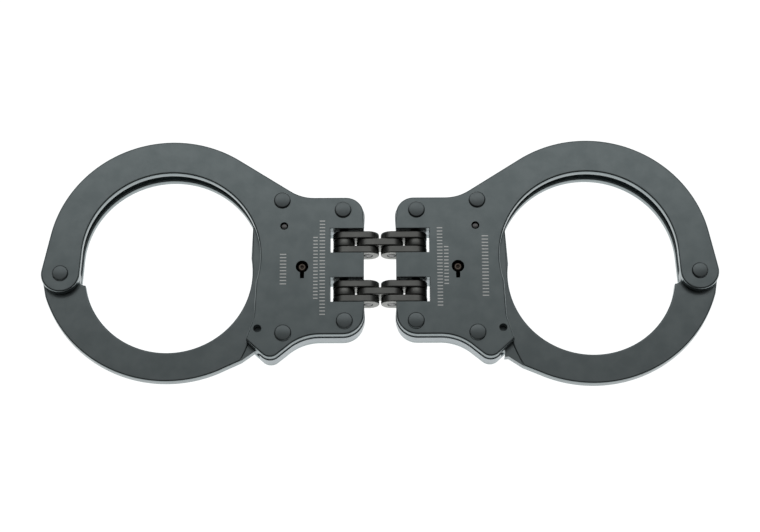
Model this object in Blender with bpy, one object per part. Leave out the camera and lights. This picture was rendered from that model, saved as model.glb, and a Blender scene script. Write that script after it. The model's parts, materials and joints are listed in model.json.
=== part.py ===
"""Hinged handcuffs, closed and lying flat.

Metres, +Z up. X runs from cuff to cuff, Y across, Z through the thickness.
The two cuffs mirror each other about X = 0. All the numbers below are millimetres;
`u` in a cuff is the distance from the middle of the hinge, v runs along Y.
"""
import math

import bmesh
import bpy
from mathutils import Vector

MM = 0.001

# Thickness stack, from the table upwards
HEAD_H = 0.8            # rivet head above a cheek
CHEEK_T = 2.8
GAP_T = 4.0             # space between the cheeks
ARM_T = 3.7
RIM_T = 3.1             # toothed rim of the arm
SEAM = 0.04             # air left between pieces that rest on each other
RUN = 0.08              # running clearance of a pin in a bore, on the radius
Z_MID = HEAD_H + CHEEK_T + GAP_T / 2

# Bow and pivot
BOW_C = (64.6, 3.15)
BOW_IN_R = 27.6
BOW_OUT_R = 38.25
PIVOT = (98.6, -2.0)
PIVOT_END_R = 6.0
NECK_DEG = 123.0        # where the bow runs off straight into the neck
NECK_EASE = 4.0

# Lock body
BODY_U = 5.0            # edge that faces the hinge
TOP_V = 22.6
BOTTOM_V = -22.2
TOP_R = 5.5
BOTTOM_R = 6.5
DIP_U, DIP_R, DIP_DEG = 18.5, 15.0, 42.0    # lower edge curls down to the nose
NOSE = (33.8, -30.4, 3.5)
HEEL = (41.2, -23.6, 0.9)
WAIST = (38.8, -16.3, 5.0)
NOTCH_END_U = 15.35
NOTCH_HALF = 3.95
ROWS = (("upper", 8.35), ("lower", -7.65))     # middles of the two notches along V

# Rivets, pins and holes in the cheeks (u, v)
RIVETS = ((30.3, 21.6), (11.4, 18.4), (11.0, -17.8), (29.8, -21.6))
RIVET_HEAD_R = 2.6
RIVET_R = 1.3
PIVOT_HEAD_R = 2.5
PIVOT_R = 1.75
PIN_C = (29.65, 13.15)  # pawl pin
PIN_R = 1.0
PEEP = (37.6, -20.1, 1.25)
KEY_C = (24.05, -0.2)
KEY_R = 1.95
KEY_SLOT_W = 1.36
KEY_SLOT_DOWN = 3.8
POST_R = 1.2

# Swing arm: one circle inside and one outside, closed as far as the left one
ARM_IN_C = (65.4, -0.9)
ARM_IN_R = 25.9
ARM_OUT_C = (65.35, 4.05)
ARM_OUT_R = 40.0
ARM_FLARE_DEG = -117.5  # the outer edge leaves its circle here and runs to the shoulder
ARM_FLARE_EASE = 1.6
ARM_END_R = 5.9         # about the pivot
STEP_R = 62.3           # about the pivot: start of the thinner rim
SHOULDER_DEG = -26.2    # angles about the pivot, from the lock side, up is positive
RAMP_DEG = -22.0
TIP_DEG = 22.0
ROOT_R = 65.0
TOOTH_R = 66.2
PITCH_DEG = 2.0
RIGHT_ARM_DEG = -2.0    # the right arm stands one tooth further open

# Lock
CLEAR_R = 66.8          # about the pivot: nothing of the lock stands inside it
POCKET = (17.0, -14.0, 16.5)
PAWL_R = (67.2, 70.2)
PAWL_TEETH = (-8, -6, -4, -2)
BAR_U = (17.3, 18.9)
BAR_V = (4.2, 21.6)
BAR_HALF = 0.9

# Hinge
AXIS_A, AXIS_B = 11.1, 3.75
LINK_R = 3.5
ROW_T = 2.3
ROW_GAP = 0.1
LINK_PIN_R = 1.35
LINK_BORE_R = LINK_PIN_R + RUN


def turned(p, about, deg):
    a = math.radians(deg)
    x, y = p[0] - about[0], p[1] - about[1]
    return (about[0] + x * math.cos(a) - y * math.sin(a),
            about[1] + x * math.sin(a) + y * math.cos(a))


# The whole object is moved along Y so that its box is centred there
LOWEST_V = turned(ARM_OUT_C, PIVOT, -RIGHT_ARM_DEG)[1] - ARM_OUT_R
SHIFT_V = -(BOW_C[1] + BOW_OUT_R + LOWEST_V) / 2

for old in list(bpy.data.objects):
    bpy.data.objects.remove(old, do_unlink=True)


def collection(name):
    made = bpy.data.collections.new(name)
    bpy.context.scene.collection.children.link(made)
    return made


PARTS = collection("hinged_handcuffs")
CUTTERS = collection("cutters")

LOOKS = {
    "cheek": ((0.055, 0.066, 0.072), 0.45),
    "frame": ((0.070, 0.080, 0.086), 0.45),
    "arm": ((0.050, 0.059, 0.066), 0.42),
    "rivet": ((0.045, 0.054, 0.060), 0.40),
    "lock": ((0.080, 0.076, 0.070), 0.50),
    "post": ((0.120, 0.105, 0.090), 0.50),
    "link": ((0.038, 0.036, 0.035), 0.48),
    "pin": ((0.060, 0.060, 0.060), 0.35),
}


def arc(centre, radius, start, end, step=5.0):
    """Points on an arc, both ends included, angles in degrees."""
    count = max(2, math.ceil(abs(end - start) / step) + 1)
    angles = (math.radians(start + (end - start) * i / (count - 1)) for i in range(count))
    return [(centre[0] + radius * math.cos(a), centre[1] + radius * math.sin(a)) for a in angles]


def polar(radius, deg):
    """Point about the pivot; 0 degrees looks at the lock, positive is up."""
    a = math.radians(deg)
    return (PIVOT[0] - radius * math.cos(a), PIVOT[1] + radius * math.sin(a))


def heading(p, q):
    return math.degrees(math.atan2(q[1] - p[1], q[0] - p[0]))


def rounded(before, corner, after, step=18.0):
    """The corner (u, v, radius) between two neighbours, as an arc."""
    c = Vector(corner[:2])
    a, b = (Vector(before[:2]) - c).normalized(), (Vector(after[:2]) - c).normalized()
    half = a.angle(b) / 2
    centre = c + (a + b).normalized() * (corner[2] / math.sin(half))
    reach = corner[2] / math.tan(half)
    first, last = c + a * reach, c + b * reach
    start = heading(centre, first)
    turn = (heading(centre, last) - start + 180) % 360 - 180
    return arc(centre, corner[2], start, start + turn, step)


def eased(path, corner, reach, steps=5):
    """The path with its sharp point number `corner` drawn out into a smooth bend."""
    c = Vector(path[corner])
    first = next(i for i in range(corner, -1, -1) if (Vector(path[i]) - c).length >= reach)
    last = next(i for i in range(corner, len(path)) if (Vector(path[i]) - c).length >= reach)
    a, b = Vector(path[first]), Vector(path[last])
    bend = []
    for i in range(1, steps):
        t = i / steps
        bend.append(tuple(a * (1 - t) ** 2 + c * 2 * t * (1 - t) + b * t * t))
    return path[:first + 1] + bend + path[last:]


def lower_edge():
    """Body outline from the lower hinge corner round the nose to the heel."""
    dip = arc((DIP_U, BOTTOM_V - DIP_R), DIP_R, 90, 90 - DIP_DEG, 7)
    points = rounded((BODY_U, 0), (BODY_U, BOTTOM_V, BOTTOM_R), (DIP_U, BOTTOM_V), 15)
    points += dip
    points += rounded(dip[-1], NOSE, HEEL)
    points += rounded(NOSE, HEEL, WAIST)
    return points


def upper_edge():
    """Body outline from the neck over the top and down the notched hinge side."""
    neck = arc(BOW_C, BOW_OUT_R, NECK_DEG, NECK_DEG, 5)[0]
    run = math.radians(NECK_DEG + 90)
    foot_u = neck[0] - (neck[1] - TOP_V) / math.tan(run)
    foot = (foot_u, TOP_V)
    back = 4 * NECK_EASE
    path = [neck, (foot_u - math.cos(run) * NECK_EASE, TOP_V - math.sin(run) * NECK_EASE), foot,
            (foot_u - NECK_EASE, TOP_V), (foot_u - back, TOP_V)]
    points = eased(path, 2, NECK_EASE * 0.99)[:-1]
    points += rounded((20, TOP_V), (BODY_U, TOP_V, TOP_R), (BODY_U, 0), 15)
    for _, v in ROWS:
        points += [(BODY_U, v + NOTCH_HALF), (NOTCH_END_U, v + NOTCH_HALF),
                   (NOTCH_END_U, v - NOTCH_HALF), (BODY_U, v - NOTCH_HALF)]
    return points


def cheek_outline():
    line = heading(BOW_C, PIVOT)
    span = math.dist(BOW_C, PIVOT)
    inner = line + math.degrees(math.acos((BOW_IN_R + PIVOT_END_R) / span))
    outer = line + math.degrees(math.acos((BOW_OUT_R - PIVOT_END_R) / span))
    points = lower_edge()
    points += rounded(HEEL, WAIST, arc(BOW_C, BOW_IN_R, 197, 197)[0], 4)
    points += arc(BOW_C, BOW_IN_R, 197, inner)
    points += arc(PIVOT, PIVOT_END_R, inner + 180, outer + 360, 11)
    points += arc(BOW_C, BOW_OUT_R, outer, NECK_DEG)[:-1]
    return points + upper_edge()


def arm_outline():
    """Outline of the swing arm, closed as far as the left one."""
    end_deg = heading(ARM_OUT_C, PIVOT)
    shoulder = polar(STEP_R, SHOULDER_DEG)
    edge = arc(ARM_OUT_C, ARM_OUT_R, ARM_FLARE_DEG, end_deg - 8, 4)
    points = eased([shoulder] + edge, 1, ARM_FLARE_EASE)
    points += arc(PIVOT, ARM_END_R, end_deg, 180 + 28, 12)
    bend = len(points) - 1
    points += arc(ARM_IN_C, ARM_IN_R, -9.0, -190)
    points = eased(points, bend, 2.0)
    points += [polar(64.2, TIP_DEG + 0.6), polar(ROOT_R, TIP_DEG + 1.0)]
    count = round((TIP_DEG - RAMP_DEG) / PITCH_DEG)
    for k in range(count, -1, -1):
        foot = RAMP_DEG + k * PITCH_DEG
        points += [polar(TOOTH_R, foot + 0.35), polar(ROOT_R, foot)]
    return points


def prism_mesh(outline, z0, z1):
    """Closed solid over an outline in the XY plane, faces out."""
    area = sum(a[0] * b[1] - b[0] * a[1] for a, b in zip(outline, outline[1:] + outline[:1]))
    if area < 0:
        outline = outline[::-1]
    clean = [p for i, p in enumerate(outline) if math.dist(p, outline[i - 1]) > 0.01]
    body = bmesh.new()
    low = [body.verts.new((x, y, z0)) for x, y in clean]
    high = [body.verts.new((x, y, z1)) for x, y in clean]
    body.faces.new(low[::-1])
    body.faces.new(high)
    for i in range(len(clean)):
        body.faces.new((low[i - 1], low[i], high[i], high[i - 1]))
    return body


def lathe_mesh(profile, segments):
    """Solid turned about Z from (radius, z) points that start and end on the axis."""
    body = bmesh.new()
    rings = []
    for r, z in profile:
        if r == 0:
            rings.append([body.verts.new((0, 0, z))])
        else:
            turns = [2 * math.pi * i / segments for i in range(segments)]
            rings.append([body.verts.new((r * math.cos(a), r * math.sin(a), z)) for a in turns])
    for low, high in zip(rings, rings[1:]):
        for i in range(segments):
            j = (i + 1) % segments
            if len(low) == 1:
                body.faces.new((low[0], high[j], high[i]))
            elif len(high) == 1:
                body.faces.new((low[i], low[j], high[0]))
            else:
                body.faces.new((low[i], low[j], high[j], high[i]))
    return body


def rod_mesh(radius, z0, z1, segments=16):
    return lathe_mesh([(0, z0), (radius, z0), (radius, z1), (0, z1)], segments)


def finish(body, name, look, origin=(0, 0, 0)):
    """Mesh in millimetres to an object in metres whose origin is the given point."""
    at = Vector((origin[0], origin[1] + SHIFT_V, origin[2]))
    for vert in body.verts:
        vert.co = (vert.co + Vector((0, SHIFT_V, 0)) - at) * MM
    mesh = bpy.data.meshes.new(name)
    body.to_mesh(mesh)
    body.free()
    made = bpy.data.objects.new(name, mesh)
    made.location = at * MM
    if look is None:
        CUTTERS.objects.link(made)
        made.hide_render = True
        made.display_type = "WIRE"
        return made
    PARTS.objects.link(made)
    material = bpy.data.materials.new(name + "_steel")
    material.use_nodes = True
    shader = material.node_tree.nodes["Principled BSDF"]
    colour, rough = LOOKS[look]
    shader.inputs["Base Color"].default_value = (*colour, 1)
    shader.inputs["Roughness"].default_value = rough
    shader.inputs["Metallic"].default_value = 0.9
    material.diffuse_color = (*colour, 1)
    mesh.materials.append(material)
    return made


def cut(target, cutters):
    for cutter in cutters:
        step = target.modifiers.new("cut " + cutter.name, "BOOLEAN")
        step.operation = "DIFFERENCE"
        step.solver = "EXACT"
        step.object = cutter


def upright(body, x, y, z=0.0):
    for vert in body.verts:
        vert.co = vert.co + Vector((x, y, z))
    return body


def along_y(body, x, y, z):
    """Turn a body that stands on Z so that it lies along Y."""
    for vert in body.verts:
        vert.co = Vector((vert.co.x + x, vert.co.z + y, -vert.co.y + z))
    return body


def drill(name, x, y, radius, z0, z1, segments=16):
    return finish(upright(rod_mesh(radius, z0, z1, segments), x, y), name, None)


def rivet_mesh(head_r, shank_r, segments=16):
    """Rivet with a domed head on each cheek."""
    face = GAP_T / 2 + CHEEK_T
    rim, top = face + 0.25, face + HEAD_H
    dome_r = (head_r ** 2 + (top - rim) ** 2) / (2 * (top - rim))
    dome = []
    for r in (head_r, head_r * 0.72, head_r * 0.4):
        dome.append((r, top - dome_r + math.sqrt(dome_r ** 2 - r * r)))
    half = [(shank_r, face + SEAM), (head_r, face + SEAM)] + dome + [(0, top)]
    return lathe_mesh([(r, -z) for r, z in half[::-1]] + half, segments)


def pawl_outline():
    """Pawl with its teeth standing clear between those of the arm."""
    inner, outer = PAWL_R
    eye = 2.4
    points = arc(PIN_C, eye, 20, 190, 20)
    points += [polar(outer, b) for b in (9, 6, 3, 0, -3, -5.2)]
    points += [(25.2, -8.3), (20.9, -7.4), (20.7, -0.2), (19.4, -0.2), (19.2, -9.6), (24.6, -10.9)]
    points += [polar(inner + 1.6, -9.6), polar(inner, -8.8)]
    for foot in PAWL_TEETH:
        points += [polar(ROOT_R + 1.3, foot - 0.6), polar(ROOT_R + 0.35, foot - 0.14),
                   polar(inner - 0.1, foot - 0.05)]
    points += [polar(inner, 0.6), polar(inner, 4), polar(inner, 8)]
    return points


def spring_outline():
    """Leaf spring: a foot under the upper wall of the pocket and a bent blade."""
    top = POCKET[2] - SEAM
    blade = [(22.6, top - 1.0), (24.3, top - 5.2), (25.9, top - 8.6), (27.5, top - 11.4)]
    left = [(u - 0.45, v - 0.2) for u, v in blade]
    return [(19.8, top), (19.8, top - 1.0)] + left + blade[::-1] + [(22.6, top)]


def both(outline, side):
    return [(side * u, v) for u, v in outline]


def plate(outline, side, half, name, look, origin):
    return finish(prism_mesh(both(outline, side), Z_MID - half, Z_MID + half), name, look, origin)


def build_cheek(side, prefix, level):
    front = level == "front"
    z0 = Z_MID + GAP_T / 2 if front else HEAD_H
    z1 = z0 + CHEEK_T
    name = f"{prefix}_{level}_cheek"
    origin = (side * AXIS_A, 0, Z_MID)
    cheek = finish(prism_mesh(both(cheek_outline(), side), z0, z1), name, "cheek", origin)
    holes = [(u, v, RIVET_R + 0.05) for u, v in RIVETS]
    holes += [(*PIVOT, PIVOT_R + 0.05), (*PIN_C, PIN_R + 0.25 if front else PIN_R + 0.05)]
    if front:
        holes += [PEEP, (*KEY_C, KEY_R)]
        half = KEY_SLOT_W / 2
        low = KEY_C[1] - KEY_SLOT_DOWN
        slot = [(KEY_C[0] - half, KEY_C[1] - 1), (KEY_C[0] - half * 0.9, low),
                (KEY_C[0] + half * 0.9, low), (KEY_C[0] + half, KEY_C[1] - 1)]
        slot_cut = finish(prism_mesh(both(slot, side), z0 - 1, z1 + 1), f"{name}_slot", None)
        cut(cheek, [slot_cut])
    cut(cheek, [drill(f"{name}_hole_{i}", side * u, v, r, z0 - 1, z1 + 1)
                for i, (u, v, r) in enumerate(holes)])


def build_frame(side, prefix):
    half = GAP_T / 2 - SEAM
    name = f"{prefix}_lock_frame"
    frame = plate(lower_edge() + upper_edge(), side, half, name, "frame",
                  (side * AXIS_A, 0, Z_MID))
    z0, z1 = Z_MID - 4, Z_MID + 4
    u0, v0, v1 = POCKET
    pocket = [(u0, v0), (60, v0), (60, v1), (u0, v1)]
    bar = [(BAR_U[0] - 0.2, v1 - 1), (BAR_U[0] - 0.2, TOP_V + 1), (BAR_U[1] + 0.2, TOP_V + 1),
           (BAR_U[1] + 0.2, v1 - 1)]
    cutters = [
        drill(f"{name}_sweep", side * PIVOT[0], PIVOT[1], CLEAR_R, z0, z1, 144),
        finish(prism_mesh(both(pocket, side), z0, z1), f"{name}_pocket", None),
        finish(prism_mesh(both(bar, side), Z_MID - BAR_HALF - 0.15, Z_MID + BAR_HALF + 0.15),
               f"{name}_bar_way", None),
        finish(along_y(rod_mesh(LINK_BORE_R, -16.5, 16.5), side * AXIS_A, 0, Z_MID),
               f"{name}_bore", None),
    ]
    cutters += [drill(f"{name}_hole_{i}", side * u, v, RIVET_R + 0.05, z0, z1)
                for i, (u, v) in enumerate(RIVETS)]
    cut(frame, cutters)


def build_arm(side, prefix):
    name = f"{prefix}_swing_arm"
    deg = -RIGHT_ARM_DEG if side > 0 else 0.0
    outline = [turned(p, PIVOT, deg) for p in arm_outline()]
    arm = plate(outline, side, ARM_T / 2, name, "arm", (side * PIVOT[0], PIVOT[1], Z_MID))
    cutters = []
    for face in (-1, 1):
        z = sorted((Z_MID + face * RIM_T / 2, Z_MID + face * 3))
        step = TIP_DEG + 34
        ring = [polar(STEP_R, b) for b in (SHOULDER_DEG - 4 + i * 2 for i in range(int(step / 2) + 2))]
        rim = ring + [polar(69, TIP_DEG + 8), polar(69, TIP_DEG - 18), polar(69, SHOULDER_DEG + 10),
                      polar(69, SHOULDER_DEG - 4)]
        rim = both([turned(p, PIVOT, deg) for p in rim], side)
        cutters.append(finish(prism_mesh(rim, *z), f"{name}_rim_{face + 1}", None))
    cutters.append(drill(f"{name}_bore", side * PIVOT[0], PIVOT[1], PIVOT_R + RUN,
                         Z_MID - 4, Z_MID + 4))
    cut(arm, cutters)


def build_lock(side, prefix):
    pin = (side * PIN_C[0], PIN_C[1], Z_MID)
    inner_half = GAP_T / 2 - 0.25
    pawl = plate(pawl_outline(), side, inner_half, f"{prefix}_pawl", "lock", pin)
    cut(pawl, [drill(f"{prefix}_pawl_bore", pin[0], pin[1], PIN_R + RUN, 0, 12)])
    low, high = HEAD_H + 0.3, Z_MID + GAP_T / 2 + CHEEK_T - 0.45
    finish(upright(rod_mesh(PIN_R, low, high), pin[0], pin[1]), f"{prefix}_pawl_pin", "pin", pin)
    plate(spring_outline(), side, 1.3, f"{prefix}_pawl_spring", "pin", pin)
    bar = [(u, v) for u in BAR_U for v in (BAR_V if u == BAR_U[0] else BAR_V[::-1])]
    plate(bar, side, BAR_HALF, f"{prefix}_double_lock_bar", "lock",
          (side * sum(BAR_U) / 2, BAR_V[0], Z_MID))
    foot = HEAD_H + CHEEK_T + SEAM
    top = Z_MID + GAP_T / 2 + CHEEK_T - 0.5
    profile = [(0, foot), (1.9, foot), (1.9, foot + 0.6), (POST_R, foot + 0.6),
               (POST_R, top - 0.2), (POST_R - 0.2, top), (0, top)]
    finish(upright(lathe_mesh(profile, 16), side * KEY_C[0], KEY_C[1]), f"{prefix}_key_post",
           "post", (side * KEY_C[0], KEY_C[1], Z_MID))


def build_rivets(side, prefix):
    pivot = (side * PIVOT[0], PIVOT[1], Z_MID)
    finish(upright(rivet_mesh(PIVOT_HEAD_R, PIVOT_R), *pivot), f"{prefix}_pivot_rivet", "rivet",
           pivot)
    for i, (u, v) in enumerate(RIVETS):
        at = (side * u, v, Z_MID)
        finish(upright(rivet_mesh(RIVET_HEAD_R, RIVET_R), *at), f"{prefix}_body_rivet_{i + 1}",
               "rivet", at)


def link_plate(name, x0, x1, y0, y1, bores):
    """Obround plate between two axes, bored at each of them."""
    outline = arc((max(x0, x1), 0), LINK_R, -90, 90, 15) + arc((min(x0, x1), 0), LINK_R, 90, 270, 15)
    body = along_y(prism_mesh(outline, y0, y1), 0, 0, Z_MID)
    made = finish(body, name, "link", (x0, (y0 + y1) / 2, Z_MID))
    cut(made, [finish(along_y(rod_mesh(r, y0 - 1, y1 + 1), x, 0, Z_MID), f"{name}_bore_{i}", None)
               for i, (x, r) in enumerate(bores)])


def build_hinge():
    row = ROW_T + ROW_GAP
    for side, prefix in ((-1, "left"), (1, "right")):
        axis = side * AXIS_A
        finish(along_y(rod_mesh(LINK_PIN_R, -16.3, 16.3), axis, 0, Z_MID),
               f"{prefix}_hinge_pin", "pin", (axis, 0, Z_MID))
        for level, v in ROWS:
            for place, mid in (("a", v + row), ("b", v - row)):
                link_plate(f"{prefix}_{level}_link_{place}", axis, side * AXIS_B,
                           mid - ROW_T / 2, mid + ROW_T / 2,
                           ((axis, LINK_BORE_R), (side * AXIS_B, LINK_PIN_R + 0.05)))
            y0, y1 = v - ROW_T / 2, v + ROW_T / 2
            roller = finish(along_y(rod_mesh(LINK_R - 0.1, y0, y1), axis, 0, Z_MID),
                            f"{prefix}_{level}_roller", "link", (axis, v, Z_MID))
            cut(roller, [finish(along_y(rod_mesh(LINK_BORE_R, y0 - 1, y1 + 1), axis, 0, Z_MID),
                                f"{prefix}_{level}_roller_bore", None)])
            reach = row + ROW_T / 2 - 0.05
            finish(along_y(rod_mesh(LINK_PIN_R, v - reach, v + reach), side * AXIS_B, 0, Z_MID),
                   f"{prefix}_{level}_link_rivet", "pin", (side * AXIS_B, v, Z_MID))
    for level, v in ROWS:
        link_plate(f"{level}_centre_link", -AXIS_B, AXIS_B, v - ROW_T / 2, v + ROW_T / 2,
                   ((-AXIS_B, LINK_BORE_R), (AXIS_B, LINK_BORE_R)))


for SIDE, PREFIX in ((-1, "left"), (1, "right")):
    for LEVEL in ("front", "back"):
        build_cheek(SIDE, PREFIX, LEVEL)
    build_frame(SIDE, PREFIX)
    build_arm(SIDE, PREFIX)
    build_lock(SIDE, PREFIX)
    build_rivets(SIDE, PREFIX)
build_hinge()
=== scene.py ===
"""Looks of the hinged handcuffs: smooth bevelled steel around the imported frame."""
import json
import math

import bmesh
import bpy
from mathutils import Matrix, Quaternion, Vector


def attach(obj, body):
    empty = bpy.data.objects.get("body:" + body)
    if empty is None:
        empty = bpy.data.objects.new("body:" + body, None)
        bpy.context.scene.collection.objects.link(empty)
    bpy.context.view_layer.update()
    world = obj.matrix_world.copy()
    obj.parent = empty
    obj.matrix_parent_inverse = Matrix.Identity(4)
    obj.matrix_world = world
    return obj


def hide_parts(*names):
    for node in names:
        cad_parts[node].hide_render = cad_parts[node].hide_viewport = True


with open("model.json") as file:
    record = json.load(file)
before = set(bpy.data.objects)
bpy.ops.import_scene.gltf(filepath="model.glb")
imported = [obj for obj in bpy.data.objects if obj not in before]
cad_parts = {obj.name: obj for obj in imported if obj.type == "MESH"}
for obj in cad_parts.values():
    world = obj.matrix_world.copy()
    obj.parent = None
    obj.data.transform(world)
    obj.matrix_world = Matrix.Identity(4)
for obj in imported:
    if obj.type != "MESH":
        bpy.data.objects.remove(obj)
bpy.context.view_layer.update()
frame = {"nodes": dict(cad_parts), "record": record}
scene = bpy.context.scene
MM = 0.001

# Thickness stack (millimetres, like every length below)
HEAD_H, CHEEK_T, GAP_T = 0.8, 2.8, 4.0
RIM_R = 0.6             # rounding of the cheeks' edges
ARM_RIM_R = 0.5
FRAME_PROUD = 0.28      # the frame stands out a little between the cheeks
ARM_T, RIM_T, SEAM, RUN = 3.7, 3.1, 0.04, 0.08
Z_MID = HEAD_H + CHEEK_T + GAP_T / 2
Z_FACE = Z_MID + GAP_T / 2 + CHEEK_T

# Bow, pivot and lock body; u is the distance from the middle of the hinge
BOW_C, BOW_OUT_R = (64.6, 3.15), 38.25
BOW_IN_C, BOW_IN_R, BOW_IN_DEG = (64.6, 3.15), 27.6, 197.0
PIVOT, PIVOT_END_R = (98.6, -2.0), 6.0
NECK_DEG, NECK_EASE = 123.0, 4.0
BODY_U, TOP_V, BOTTOM_V, TOP_R, BOTTOM_R = 5.0, 22.6, -22.2, 5.5, 6.5
DIP_U, DIP_R, DIP_DEG = 18.5, 15.0, 42.0
NOSE, HEEL, WAIST = (33.8, -30.4, 3.5), (41.2, -23.6, 0.9), (38.8, -16.3, 5.0)
NOTCH_END_U, NOTCH_HALF = 15.35, 3.95
ROWS = (("upper", 8.35), ("lower", -7.65))

RIVETS = ((30.3, 21.6), (11.4, 18.4), (11.0, -17.8), (29.8, -21.6))
RIVET_HEAD_R, RIVET_R, PIVOT_HEAD_R, PIVOT_R = 2.6, 1.3, 2.5, 1.75
PIN_C, PIN_R = (29.65, 13.15), 1.0
PEEP = (37.6, -20.1, 1.25)
KEY_C, KEY_R, KEY_SLOT_W, KEY_SLOT_DOWN, POST_R = (24.05, -0.2), 1.95, 1.36, 3.8, 1.2

# Swing arm
ARM_IN_C, ARM_IN_R, ARM_IN_DEGS = (65.4, -0.9), 25.9, (-9, -190)
ARM_OUT_C, ARM_OUT_R = (65.35, 4.05), 40.0
ARM_FLARE_DEG, ARM_FLARE_EASE, ARM_END_R = -117.5, 1.6, 5.9
ARM_END_DEG, ARM_IN_EASE = 208, 2.0     # where the round pivot end gives way to the inner edge
STEP_R, SHOULDER_DEG, RAMP_DEG, TIP_DEG = 62.3, -26.2, -22.0, 22.0
STEP_END_DEG = 18.1     # where the step runs out on the inner edge
ROOT_R, TOOTH_R, PITCH_DEG, RIGHT_ARM_DEG = 65.0, 66.2, 2.0, -2.0
TIP_R, TOOTH_LEAN_DEG = 64.2, 0.35
CLEAR_R = 66.8          # sweep kept free for the arm's teeth
POCKET = (17.0, -14.0, 16.5)    # room for the lock: nearest u, lowest and highest v
BAR_U, BAR_HALF = (17.3, 18.9), 0.9

# Hinge
AXIS_A, AXIS_B, LINK_R, ROW_T, ROW_GAP, LINK_PIN_R = 11.1, 3.75, 3.5, 2.3, 0.1, 1.35
LINK_BORE_R = LINK_PIN_R + RUN

TICK_HALF, TICK_PITCH = 0.17, 1.05
# Rows of plain ticks on the front faces: (u, first v, last v, tick length)
TICKS = {
    "left": ((17.8, 14.7, -15.7, 1.7), (19.9, 9.3, -10.5, 1.4), (29.9, 3.8, -5.8, 2.0)),
    "right": ((18.5, 12.3, -12.9, 1.7), (20.5, 6.1, -5.9, 1.4), (32.5, 9.6, -9.8, 2.0)),
}

# Edges that meet at more than SHARP_DEG are rounded off; up to SMOOTH_DEG they shade as one
SHARP_DEG, SMOOTH_DEG = 30, 40
CROWN, HEAD_EDGE_R = 0.14, 0.45     # rivet heads: rise of the flat and rounding of the edge


def turned(p, about, deg):
    a = math.radians(deg)
    x, y = p[0] - about[0], p[1] - about[1]
    return (about[0] + x * math.cos(a) - y * math.sin(a),
            about[1] + x * math.sin(a) + y * math.cos(a))


LOWEST_V = turned(ARM_OUT_C, PIVOT, -RIGHT_ARM_DEG)[1] - ARM_OUT_R
SHIFT_V = -(BOW_C[1] + BOW_OUT_R + LOWEST_V) / 2


def arc(centre, radius, start, end, step=2.5):
    count = max(2, math.ceil(abs(end - start) / step) + 1)
    angles = (math.radians(start + (end - start) * i / (count - 1)) for i in range(count))
    return [(centre[0] + radius * math.cos(a), centre[1] + radius * math.sin(a)) for a in angles]


def polar(radius, deg):
    """Point about the pivot; 0 degrees looks at the lock, positive is up."""
    a = math.radians(deg)
    return (PIVOT[0] - radius * math.cos(a), PIVOT[1] + radius * math.sin(a))


def ring(radius, start, end, count):
    """Evenly spaced points on a circle about the pivot."""
    return [polar(radius, start + (end - start) * i / count) for i in range(count + 1)]


def heading(p, q):
    return math.degrees(math.atan2(q[1] - p[1], q[0] - p[0]))


def rounded(before, corner, after, step=7.0):
    """The corner (u, v, radius) between two neighbours, as an arc."""
    c = Vector(corner[:2])
    a, b = (Vector(before[:2]) - c).normalized(), (Vector(after[:2]) - c).normalized()
    half = a.angle(b) / 2
    centre = c + (a + b).normalized() * (corner[2] / math.sin(half))
    reach = corner[2] / math.tan(half)
    first, last = c + a * reach, c + b * reach
    start = heading(centre, first)
    turn = (heading(centre, last) - start + 180) % 360 - 180
    return arc(centre, corner[2], start, start + turn, step)


def eased(path, corner, reach, steps=8):
    """The path with its sharp point number `corner` drawn out into a smooth bend."""
    c = Vector(path[corner])
    first = next(i for i in range(corner, -1, -1) if (Vector(path[i]) - c).length >= reach)
    last = next(i for i in range(corner, len(path)) if (Vector(path[i]) - c).length >= reach)
    a, b = Vector(path[first]), Vector(path[last])
    bend = []
    for i in range(1, steps):
        t = i / steps
        bend.append(tuple(a * (1 - t) ** 2 + c * 2 * t * (1 - t) + b * t * t))
    return path[:first + 1] + bend + path[last:]


def lower_edge():
    """Body outline from the lower hinge corner round the nose to the heel."""
    dip = arc((DIP_U, BOTTOM_V - DIP_R), DIP_R, 90, 90 - DIP_DEG, 3)
    points = rounded((BODY_U, 0), (BODY_U, BOTTOM_V, BOTTOM_R), (DIP_U, BOTTOM_V))
    points += dip
    points += rounded(dip[-1], NOSE, HEEL)
    points += rounded(NOSE, HEEL, WAIST)
    return points


def upper_edge():
    """Body outline from the neck over the top and down the notched hinge side."""
    neck = arc(BOW_C, BOW_OUT_R, NECK_DEG, NECK_DEG)[0]
    run = math.radians(NECK_DEG + 90)
    foot_u = neck[0] - (neck[1] - TOP_V) / math.tan(run)
    path = [neck, (foot_u - math.cos(run) * NECK_EASE, TOP_V - math.sin(run) * NECK_EASE),
            (foot_u, TOP_V), (foot_u - NECK_EASE, TOP_V), (foot_u - 4 * NECK_EASE, TOP_V)]
    points = eased(path, 2, NECK_EASE * 0.99)[:-1]
    points += rounded((20, TOP_V), (BODY_U, TOP_V, TOP_R), (BODY_U, 0))
    for _, v in ROWS:
        points += [(BODY_U, v + NOTCH_HALF), (NOTCH_END_U, v + NOTCH_HALF),
                   (NOTCH_END_U, v - NOTCH_HALF), (BODY_U, v - NOTCH_HALF)]
    return points


def cheek_outline():
    """One cheek plate: lock body, bow and round pivot end."""
    inner = heading(BOW_IN_C, PIVOT)
    inner += math.degrees(math.acos((BOW_IN_R + PIVOT_END_R) / math.dist(BOW_IN_C, PIVOT)))
    outer = heading(BOW_C, PIVOT)
    outer += math.degrees(math.acos((BOW_OUT_R - PIVOT_END_R) / math.dist(BOW_C, PIVOT)))
    points = lower_edge()
    points += rounded(HEEL, WAIST, arc(BOW_IN_C, BOW_IN_R, BOW_IN_DEG, BOW_IN_DEG)[0], 2)
    points += arc(BOW_IN_C, BOW_IN_R, BOW_IN_DEG, inner)
    points += arc(PIVOT, PIVOT_END_R, inner + 180, outer + 360, 5)
    points += arc(BOW_C, BOW_OUT_R, outer, NECK_DEG)[:-1]
    return points + upper_edge()


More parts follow.
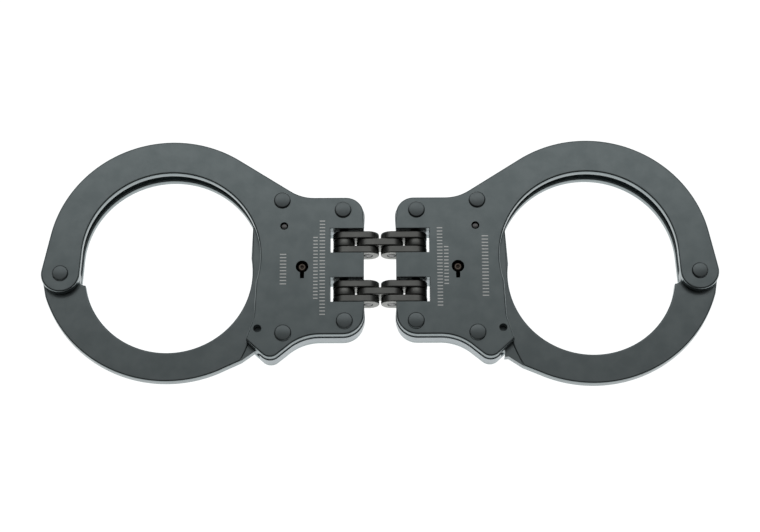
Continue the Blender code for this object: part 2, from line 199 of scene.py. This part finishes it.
def arm_body():
    """Thick part of the swing arm as far as the step, closed as far as the left one."""
    end_deg = heading(ARM_OUT_C, PIVOT)
    shoulder = polar(STEP_R, SHOULDER_DEG)
    edge = arc(ARM_OUT_C, ARM_OUT_R, ARM_FLARE_DEG, end_deg - 8, 2)
    points = eased([shoulder] + edge, 1, ARM_FLARE_EASE)
    points += arc(PIVOT, ARM_END_R, end_deg, ARM_END_DEG, 6)
    bend = len(points) - 1
    points += arc(ARM_IN_C, ARM_IN_R, *ARM_IN_DEGS)
    points = eased(points, bend, ARM_IN_EASE)
    return points + ring(STEP_R, STEP_END_DEG, SHOULDER_DEG, 40)[:-1]


def arm_rim():
    """Thinner toothed rim of the swing arm, running in under the step."""
    points = ring(STEP_R - 0.6, SHOULDER_DEG + 0.5, STEP_END_DEG - 2.2, 30)
    points += [polar(STEP_R, STEP_END_DEG), polar(TIP_R, TIP_DEG + 0.6),
               polar(ROOT_R, TIP_DEG + 1.0)]
    for k in range(round((TIP_DEG - RAMP_DEG) / PITCH_DEG), -1, -1):
        foot = RAMP_DEG + k * PITCH_DEG
        points += [polar(TOOTH_R, foot + TOOTH_LEAN_DEG), polar(ROOT_R, foot)]
    return points + [polar(STEP_R, SHOULDER_DEG)]


def prism(outline, z0, z1, side=1, body=None):
    """Closed solid over an outline in the XY plane, mirrored to its side."""
    outline = [(side * u, v + SHIFT_V) for u, v in outline]
    if sum(a[0] * b[1] - b[0] * a[1] for a, b in zip(outline, outline[1:] + outline[:1])) < 0:
        outline = outline[::-1]
    clean = [p for i, p in enumerate(outline) if math.dist(p, outline[i - 1]) > 0.004]
    body = body or bmesh.new()
    low = [body.verts.new((x, y, z0)) for x, y in clean]
    high = [body.verts.new((x, y, z1)) for x, y in clean]
    body.faces.new(low[::-1])
    body.faces.new(high)
    for i in range(len(clean)):
        body.faces.new((low[i - 1], low[i], high[i], high[i - 1]))
    return body


def inset(outline, amounts):
    """A closed outline that runs counter-clockwise, moved inwards point by point."""
    moved = []
    for i, point in enumerate(outline):
        p = Vector(point)
        a = (p - Vector(outline[i - 1])).normalized()
        b = (Vector(outline[(i + 1) % len(outline)]) - p).normalized()
        inward = Vector((-a.y - b.y, a.x + b.x))
        moved.append(tuple(p + inward * (amounts[i] / max(1 + a.dot(b), 0.3))))
    return moved


def rimmed(outline, z0, z1, side, radius, share=lambda u, v: 1.0, steps=4):
    """Prism whose upper and lower edges are rounded; `share` thins the rounding by place."""
    outline = [(side * u, v) for u, v in outline]
    if sum(a[0] * b[1] - b[0] * a[1] for a, b in zip(outline, outline[1:] + outline[:1])) < 0:
        outline = outline[::-1]
    clean = [p for i, p in enumerate(outline) if math.dist(p, outline[i - 1]) > 0.02]
    radii = [radius * share(side * x, y) for x, y in clean]
    body = bmesh.new()
    layers = []
    for top in (False, True):
        turns = [90 * i / steps for i in range(steps + 1)]
        for deg in (turns if top else turns[::-1]):
            a = math.radians(deg)
            ring = inset(clean, [r * (1 - math.cos(a)) for r in radii])
            heights = [r * (1 - math.sin(a)) for r in radii]
            layers.append([body.verts.new((x, y + SHIFT_V, z1 - h if top else z0 + h))
                           for (x, y), h in zip(ring, heights)])
    body.faces.new(layers[0][::-1])
    body.faces.new(layers[-1])
    for low, high in zip(layers, layers[1:]):
        for i in range(len(clean)):
            body.faces.new((low[i - 1], low[i], high[i], high[i - 1]))
    return body


def lathe(profile, at, axis="z", segments=48, body=None):
    """Solid turned about an axis through `at`, from (radius, height) points on and off it."""
    body = body or bmesh.new()
    at = Vector((at[0], at[1] + SHIFT_V, at[2]))

    def place(x, y, z):
        return body.verts.new(at + (Vector((x, y, z)) if axis == "z" else Vector((x, z, -y))))

    rings = []
    for r, z in profile:
        turns = [2 * math.pi * i / segments for i in range(segments)] if r else [0]
        rings.append([place(r * math.cos(a), r * math.sin(a), z) for a in turns])
    for low, high in zip(rings, rings[1:]):
        for i in range(segments):
            j = (i + 1) % segments
            if len(low) == 1:
                body.faces.new((low[0], high[j], high[i]))
            elif len(high) == 1:
                body.faces.new((low[i], low[j], high[0]))
            else:
                body.faces.new((low[i], low[j], high[j], high[i]))
    return body


def rod(radius, z0, z1, at, axis="z", segments=40, body=None, chamfer=0.0):
    """Round bar between two heights, its ends chamfered or square."""
    c = chamfer
    profile = [(0, z0), (radius, z0), (radius, z1), (0, z1)]
    if c:
        profile = [(0, z0), (radius - c, z0), (radius, z0 + c), (radius, z1 - c),
                   (radius - c, z1), (0, z1)]
    return lathe(profile, at, axis, segments, body)


def scaled_object(body, name):
    """Object in metres from a body drawn in millimetres."""
    for vert in body.verts:
        vert.co *= MM
    mesh = bpy.data.meshes.new(name)
    body.to_mesh(mesh)
    body.free()
    made = bpy.data.objects.new(name, mesh)
    scene.collection.objects.link(made)
    return made


def weigh_edges(mesh):
    """Marks the sharp edges for rounding."""
    body = bmesh.new()
    body.from_mesh(mesh)
    layer = body.edges.layers.float.get("bevel_weight_edge")
    if layer is None:
        layer = body.edges.layers.float.new("bevel_weight_edge")
    limit = math.radians(SHARP_DEG)
    for edge in body.edges:
        sharp = len(edge.link_faces) == 2 and edge.calc_face_angle(0) > limit
        edge[layer] = 1.0 if sharp else 0.0
    body.to_mesh(mesh)
    body.free()


def baked(made):
    """The mesh of an object with its modifiers worked in."""
    graph = bpy.context.evaluated_depsgraph_get()
    mesh = bpy.data.meshes.new_from_object(made.evaluated_get(graph))
    made.modifiers.clear()
    made.data = mesh
    return mesh


def piece(body, node, material, cutters=(), bevel=0.0, segments=4, evened=False):
    """Solid with its cuts made and its edges rounded; it stands for a CAD node."""
    made = scaled_object(body, node + "_steel")
    tools = [scaled_object(cutter, node + "_tool") for cutter in cutters]
    for tool in tools:
        step = made.modifiers.new("cut", "BOOLEAN")
        step.operation, step.solver, step.object = "DIFFERENCE", "EXACT", tool
    mesh = baked(made)
    for tool in tools:
        bpy.data.objects.remove(tool)
    if bevel:
        for poly in mesh.polygons:
            poly.use_smooth = True
        weigh_edges(mesh)
        round_off = made.modifiers.new("round", "BEVEL")
        round_off.width = bevel * MM
        round_off.segments = segments
        round_off.limit_method = "WEIGHT"
        round_off.harden_normals = True
        mesh = baked(made)
    elif evened:
        for poly in mesh.polygons:
            poly.use_smooth = True
        mesh.set_sharp_from_angle(angle=math.radians(SMOOTH_DEG))
        even = made.modifiers.new("even", "WEIGHTED_NORMAL")
        even.keep_sharp = True
        mesh = baked(made)
    mesh.materials.clear()
    mesh.materials.append(material)
    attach(made, BODY_OF[node])
    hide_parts(node)
    return made


def smooth(made):
    for poly in made.data.polygons:
        poly.use_smooth = True


BODY_OF = {node: body for body, nodes in frame["record"]["behaviour"]["bodies"].items()
           for node in nodes}


def steel(name, dark, light, rough, grain=1.0):
    """Blackened steel: cloudy oxide tone, uneven gloss and a fine blasted grain."""
    made = bpy.data.materials.new(name)
    made.use_nodes = True
    nodes, links = made.node_tree.nodes, made.node_tree.links
    shader = nodes["Principled BSDF"]
    shader.inputs["Metallic"].default_value = 1.0
    where = nodes.new("ShaderNodeTexCoord")

    def noise(scale, detail):
        made_noise = nodes.new("ShaderNodeTexNoise")
        made_noise.inputs["Scale"].default_value = scale
        made_noise.inputs["Detail"].default_value = detail
        links.new(where.outputs["Object"], made_noise.inputs["Vector"])
        return made_noise

    def ramp(source, low, high):
        made_ramp = nodes.new("ShaderNodeValToRGB")
        first, last = made_ramp.color_ramp.elements
        first.position, last.position = 0.35, 0.65
        first.color, last.color = (*low, 1), (*high, 1)
        links.new(source.outputs["Fac"], made_ramp.inputs["Fac"])
        return made_ramp

    cloud = noise(210, 4)
    speck = noise(1500, 3)
    tone = ramp(cloud, dark, light)
    links.new(tone.outputs["Color"], shader.inputs["Base Color"])
    gloss = ramp(speck, (rough - 0.015,) * 3, (rough + 0.015,) * 3)
    links.new(gloss.outputs["Color"], shader.inputs["Roughness"])
    fine = noise(5200, 2)
    bump = nodes.new("ShaderNodeBump")
    bump.inputs["Strength"].default_value = 0.06 * grain
    bump.inputs["Distance"].default_value = 0.00004
    links.new(fine.outputs["Fac"], bump.inputs["Height"])
    links.new(bump.outputs["Normal"], shader.inputs["Normal"])
    return made


LOOK = {
    "cheek": steel("cheek_oxide", (0.236, 0.276, 0.282), (0.270, 0.312, 0.318), 0.29),
    "frame": steel("frame_oxide", (0.30, 0.34, 0.355), (0.33, 0.37, 0.385), 0.30),
    "arm": steel("arm_oxide", (0.226, 0.262, 0.268), (0.258, 0.296, 0.302), 0.29),
    "rivet": steel("rivet_oxide", (0.205, 0.236, 0.242), (0.232, 0.264, 0.270), 0.32),
    "link": steel("link_oxide", (0.255, 0.262, 0.250), (0.305, 0.312, 0.298), 0.38),
    "pin": steel("pin_oxide", (0.20, 0.20, 0.20), (0.25, 0.25, 0.25), 0.34),
    "post": steel("post_metal", (0.24, 0.20, 0.17), (0.32, 0.27, 0.23), 0.45),
    "lock": steel("lock_metal", (0.22, 0.21, 0.20), (0.28, 0.27, 0.25), 0.42),
    "tick": steel("tick_etch", (0.84, 0.86, 0.84), (0.92, 0.93, 0.91), 0.32, 0.3),
}


def circle_cut(body, side, u, v, radius, z0, z1, segments=48):
    return rod(radius, z0, z1, (side * u, v, 0), "z", segments, body)


def build_cheek(side, prefix, level):
    front = level == "front"
    z0 = Z_MID + GAP_T / 2 if front else HEAD_H
    z1 = z0 + CHEEK_T
    tools = bmesh.new()
    holes = [(*PIN_C, PIN_R + 0.25 if front else PIN_R + 0.05)]
    if front:
        holes.append(PEEP)
        half, low = KEY_SLOT_W / 2, KEY_C[1] - KEY_SLOT_DOWN
        lean = math.degrees(math.asin(half / KEY_R))
        key = arc(KEY_C, KEY_R, -90 + lean, 270 - lean, 6)
        key += [(KEY_C[0] - half * 0.9, low), (KEY_C[0] + half * 0.9, low)]
        prism(key, z0 - 1, z1 + 1, side, tools)
    for u, v, r in holes:
        circle_cut(tools, side, u, v, r, z0 - 1, z1 + 1)

    def share(u, v):
        return 0.25 if u < NOTCH_END_U + 0.1 and abs(v) < 13 else 1.0

    piece(rimmed(cheek_outline(), z0, z1, side, RIM_R, share), f"{prefix}_{level}_cheek",
          LOOK["cheek"], [tools], evened=True)


def outset(path, amount):
    """An open path moved out to its right-hand side."""
    moved = []
    for i, point in enumerate(path):
        before, after = Vector(path[max(i - 1, 0)]), Vector(path[min(i + 1, len(path) - 1)])
        along = (after - before).normalized()
        moved.append((point[0] + along.y * amount, point[1] - along.x * amount))
    return moved


def build_frame(side, prefix):
    half = GAP_T / 2 - SEAM
    z0, z1 = Z_MID - 4, Z_MID + 4
    u0, v0, v1 = POCKET
    upper = upper_edge()
    outline = outset(lower_edge(), FRAME_PROUD) + outset(upper[:-8], FRAME_PROUD) + upper[-8:]
    sweep = circle_cut(bmesh.new(), side, *PIVOT, CLEAR_R, z0, z1, 240)
    pocket = prism([(u0, v0), (60, v0), (60, v1), (u0, v1)], z0, z1, side)
    bar = [(BAR_U[0] - 0.2, v1 - 1), (BAR_U[0] - 0.2, TOP_V + 1), (BAR_U[1] + 0.2, TOP_V + 1),
           (BAR_U[1] + 0.2, v1 - 1)]
    small = prism(bar, Z_MID - BAR_HALF - 0.15, Z_MID + BAR_HALF + 0.15, side)
    rod(LINK_BORE_R, -16.5, 16.5, (side * AXIS_A, 0, Z_MID), "y", 32, small)
    for u, v in RIVETS:
        circle_cut(small, side, u, v, RIVET_R + 0.05, z0, z1, 24)
    piece(prism(outline, Z_MID - half, Z_MID + half, side), f"{prefix}_lock_frame",
          LOOK["frame"], [sweep, pocket, small], bevel=0.14, segments=2)


def build_arm(side, prefix):
    deg = -RIGHT_ARM_DEG if side > 0 else 0.0
    body = rimmed([turned(p, PIVOT, deg) for p in arm_body()], Z_MID - ARM_T / 2,
                  Z_MID + ARM_T / 2, side, ARM_RIM_R)
    bore = circle_cut(bmesh.new(), side, *PIVOT, PIVOT_R + RUN, Z_MID - 4, Z_MID + 4)
    piece(body, f"{prefix}_swing_arm", LOOK["arm"], [bore], evened=True)
    rim = [turned(p, PIVOT, deg) for p in arm_rim()]
    teeth = scaled_object(rimmed(rim, Z_MID - RIM_T / 2, Z_MID + RIM_T / 2, side, 0.08, steps=1),
                          f"{prefix}_arm_teeth")
    teeth.data.materials.append(LOOK["arm"])
    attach(teeth, f"{prefix}_arm")
    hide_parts(f"{prefix}_swing_arm")


def rivet_profile(head_r, shank_r):
    """A shank with a low round head at both ends, as (radius, height) points."""
    face = GAP_T / 2 + CHEEK_T
    top = face + HEAD_H
    flat_r = head_r - HEAD_EDGE_R
    turns = [math.radians(15 * i) for i in range(6)]
    dome = [(flat_r + HEAD_EDGE_R * math.cos(a), top - CROWN - HEAD_EDGE_R * (1 - math.sin(a)))
            for a in turns]
    dome += [(flat_r * t, top - CROWN * t * t) for t in (1.0, 0.8, 0.6, 0.4, 0.2)]
    half = [(shank_r, face + SEAM), (head_r - 0.06, face + SEAM), (head_r, face + SEAM + 0.06)]
    half += dome + [(0, top)]
    return [(r, -z) for r, z in half[::-1]] + half


def build_small(side, prefix):
    def add(body, node, look):
        smooth(piece(body, f"{prefix}_{node}", LOOK[look]))

    add(lathe(rivet_profile(PIVOT_HEAD_R, PIVOT_R), (side * PIVOT[0], PIVOT[1], Z_MID)),
        "pivot_rivet", "rivet")
    for i, (u, v) in enumerate(RIVETS):
        add(lathe(rivet_profile(RIVET_HEAD_R, RIVET_R), (side * u, v, Z_MID)),
            f"body_rivet_{i + 1}", "rivet")
    low, high = HEAD_H + 0.3, Z_FACE - 0.45
    pin = [(0, low), (PIN_R - 0.2, low), (PIN_R, low + 0.2), (PIN_R, high - 0.25),
           (PIN_R - 0.08, high - 0.1), (PIN_R - 0.25, high), (0, high)]
    add(lathe(pin, (side * PIN_C[0], PIN_C[1], 0)), "pawl_pin", "pin")
    foot, top = HEAD_H + CHEEK_T + SEAM, Z_FACE - 0.5
    post = [(0, foot), (1.9, foot), (1.9, foot + 0.6), (POST_R, foot + 0.6), (POST_R, top - 0.3),
            (POST_R - 0.08, top - 0.1), (POST_R - 0.28, top), (0.42, top), (0.36, top - 0.35),
            (0, top - 0.45)]
    add(lathe(post, (side * KEY_C[0], KEY_C[1], 0)), "key_post", "post")
    add(rod(LINK_PIN_R, -16.3, 16.3, (side * AXIS_A, 0, Z_MID), "y", chamfer=0.15),
        "hinge_pin", "pin")


def link_plate(node, x0, x1, v, bores):
    """Obround plate between two axes, bored at each of them, with rounded rims."""
    y0, y1 = v - ROW_T / 2, v + ROW_T / 2
    body = bmesh.new()
    outline = arc((max(x0, x1), 0), LINK_R, -90, 90, 6) + arc((min(x0, x1), 0), LINK_R, 90, 270, 6)
    low = [body.verts.new((x, y0 + SHIFT_V, z + Z_MID)) for x, z in outline]
    high = [body.verts.new((x, y1 + SHIFT_V, z + Z_MID)) for x, z in outline]
    body.faces.new(low)
    body.faces.new(high[::-1])
    for i in range(len(outline)):
        body.faces.new((low[i], low[i - 1], high[i - 1], high[i]))
    tools = bmesh.new()
    for x, r in bores:
        rod(r, y0 - 1, y1 + 1, (x, 0, Z_MID), "y", 40, tools)
    piece(body, node, LOOK["link"], [tools], bevel=0.35)


def build_hinge():
    row = ROW_T + ROW_GAP
    for side, prefix in ((-1, "left"), (1, "right")):
        axis, inner = side * AXIS_A, side * AXIS_B
        for level, v in ROWS:
            for place, mid in (("a", v + row), ("b", v - row)):
                link_plate(f"{prefix}_{level}_link_{place}", axis, inner, mid,
                           ((axis, LINK_BORE_R), (inner, LINK_PIN_R + 0.05)))
            y0, y1 = v - ROW_T / 2, v + ROW_T / 2
            r = LINK_R - 0.1
            tube = [(LINK_BORE_R, y0), (r - 0.25, y0), (r - 0.07, y0 + 0.07), (r, y0 + 0.25),
                    (r, y1 - 0.25), (r - 0.07, y1 - 0.07), (r - 0.25, y1), (LINK_BORE_R, y1),
                    (LINK_BORE_R, y0)]
            body = lathe(tube, (axis, 0, Z_MID), "y")
            bmesh.ops.remove_doubles(body, verts=body.verts, dist=0.0001)
            smooth(piece(body, f"{prefix}_{level}_roller", LOOK["link"]))
            reach = row + ROW_T / 2 - 0.05
            rivet = rod(LINK_PIN_R, v - reach, v + reach, (inner, 0, Z_MID), "y", chamfer=0.2)
            smooth(piece(rivet, f"{prefix}_{level}_link_rivet", LOOK["pin"]))
    for level, v in ROWS:
        link_plate(f"{level}_centre_link", -AXIS_B, AXIS_B, v,
                   ((-AXIS_B, LINK_BORE_R), (AXIS_B, LINK_BORE_R)))


def build_ticks(side, prefix):
    body = bmesh.new()
    for u, v_top, v_low, length in TICKS[prefix]:
        count = int((v_top - v_low) / TICK_PITCH)
        for i in range(count + 1):
            v = v_top + (v_low - v_top) * i / count
            half = length / 2
            tick = [(u - half, v - TICK_HALF), (u + half, v - TICK_HALF),
                    (u + half, v + TICK_HALF), (u - half, v + TICK_HALF)]
            prism(tick, Z_FACE + 0.004, Z_FACE + 0.025, side, body)
    made = scaled_object(body, f"{prefix}_tick_rows")
    made.data.materials.append(LOOK["tick"])
    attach(made, f"{prefix}_cuff")


for SIDE, PREFIX in ((-1, "left"), (1, "right")):
    for LEVEL in ("front", "back"):
        build_cheek(SIDE, PREFIX, LEVEL)
    build_frame(SIDE, PREFIX)
    build_arm(SIDE, PREFIX)
    build_small(SIDE, PREFIX)
    build_ticks(SIDE, PREFIX)
    for NODE in ("pawl", "pawl_spring", "double_lock_bar"):
        shown = frame["nodes"][f"{PREFIX}_{NODE}"]
        for material_slot in shown.material_slots:
            material_slot.material = LOOK["pin" if "spring" in NODE else "lock"]
build_hinge()

# Pale floor
floor_mesh = bpy.data.meshes.new("floor")
floor_mesh.from_pydata([(-1.5, -1.2, 0), (1.5, -1.2, 0), (1.5, 1.8, 0), (-1.5, 1.8, 0)], [],
                       [(0, 1, 2, 3)])
floor = bpy.data.objects.new("floor", floor_mesh)
scene.collection.objects.link(floor)
paper = bpy.data.materials.new("paper")
paper.use_nodes = True
sheet = paper.node_tree.nodes["Principled BSDF"].inputs
sheet["Base Color"].default_value = (0.92, 0.92, 0.92, 1)
sheet["Roughness"].default_value = 0.9
sheet["Emission Color"].default_value = (1, 1, 1, 1)
sheet["Emission Strength"].default_value = 0.95
floor_mesh.materials.append(paper)

# Room: a wide soft light overhead, a little behind the object, and dark walls
OVERHEAD = (0, 0.45, 0.89)
# brightness against the cosine of the angle to that direction
OVERHEAD_TONES = ((0.45, 0.030), (0.70, 0.068), (0.87, 0.160), (1.0, 0.235))
world = bpy.data.worlds.new("room")
scene.world = world
world.use_nodes = True
w_nodes, w_links = world.node_tree.nodes, world.node_tree.links
direction = w_nodes.new("ShaderNodeTexCoord")
facing = w_nodes.new("ShaderNodeVectorMath")
facing.operation = "DOT_PRODUCT"
facing.inputs[1].default_value = Vector(OVERHEAD).normalized()
tones = w_nodes.new("ShaderNodeValToRGB")
stops = tones.color_ramp.elements
stops[0].position, stops[0].color = 0.0, (0.02, 0.02, 0.02, 1)
stops[1].position, stops[1].color = 1.0, (OVERHEAD_TONES[-1][1],) * 3 + (1,)
for at, level in OVERHEAD_TONES[:-1]:
    stop = stops.new(at)
    stop.color = (level, level, level, 1)
w_links.new(direction.outputs["Generated"], facing.inputs[0])
w_links.new(facing.outputs["Value"], tones.inputs["Fac"])
w_links.new(tones.outputs["Color"], w_nodes["Background"].inputs["Color"])


def softbox(name, place, target, size, power):
    light = bpy.data.lights.new(name, "AREA")
    light.shape = "RECTANGLE"
    light.size, light.size_y = size
    light.energy = power
    made = bpy.data.objects.new(name, light)
    scene.collection.objects.link(made)
    made.location = place
    aim = Vector(target) - Vector(place)
    made.rotation_euler = aim.to_track_quat("-Z", "Y").to_euler()


softbox("back_box", (0.0, 0.36, 0.62), (0, 0.05, 0), (0.9, 0.25), 0.32)

# Camera
TILT = math.radians(71.0)
DISTANCE = 0.710
ROLL_DEG = 0.27
centre = Vector((0, SHIFT_V * MM, 0.0100))
camera_data = bpy.data.cameras.new("camera")
camera_data.lens = 109.0
camera_data.sensor_width = 36.0
camera_data.clip_start = 0.02
camera = bpy.data.objects.new("camera", camera_data)
scene.collection.objects.link(camera)
camera.location = centre + Vector((0, -math.cos(TILT), math.sin(TILT))) * DISTANCE
aim = (centre - camera.location).to_track_quat("-Z", "Y")
camera.rotation_euler = (aim @ Quaternion((0, 0, 1), math.radians(-ROLL_DEG))).to_euler()
scene.camera = camera
scene.view_settings.view_transform = "Standard"
